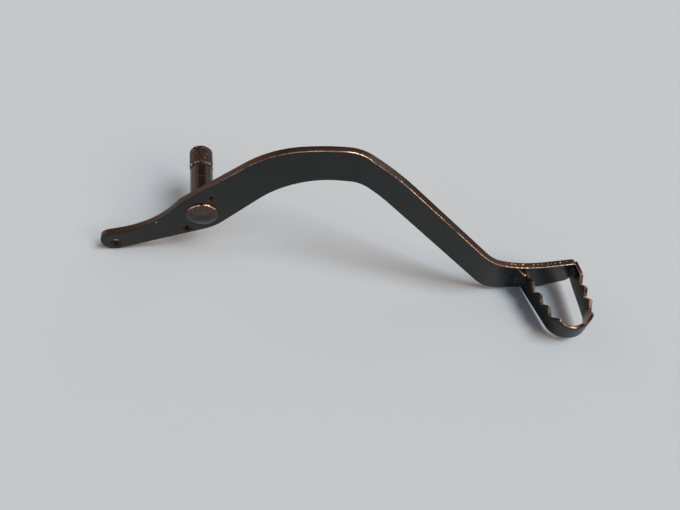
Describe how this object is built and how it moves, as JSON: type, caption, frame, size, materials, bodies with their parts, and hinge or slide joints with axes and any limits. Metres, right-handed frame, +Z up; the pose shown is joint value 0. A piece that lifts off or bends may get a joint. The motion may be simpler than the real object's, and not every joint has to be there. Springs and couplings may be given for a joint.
{
  "type": "brake pedal",
  "caption": "Motorcycle foot brake lever: a twice-bent steel arm with a riveted pivot shaft at one end and a toothed tread loop welded to its toe.",
  "frame": {"origin": "on the pivot shaft's axis, at the back face of the arm where the shaft leaves it", "axes": "+X from the pivot to the toe, +Y along the shaft to its free end, +Z up"},
  "size_m": [0.3068, 0.1376, 0.0865],
  "materials": {
    "arm_paint": "semi-gloss black paint over sheet steel",
    "shaft_paint": "gloss black paint on a turned steel shaft, rough and worn at the free end",
    "tread_paint": "semi-gloss black paint over strip steel",
    "weld_paint": "black paint over weld beads"
  },
  "bodies": {
    "root": {"lever_arm": "arm_paint", "pivot_shaft": "shaft_paint", "tread_loop": "tread_paint", "weld_back": "weld_paint", "weld_front": "weld_paint"}
  },
  "joints": []
}
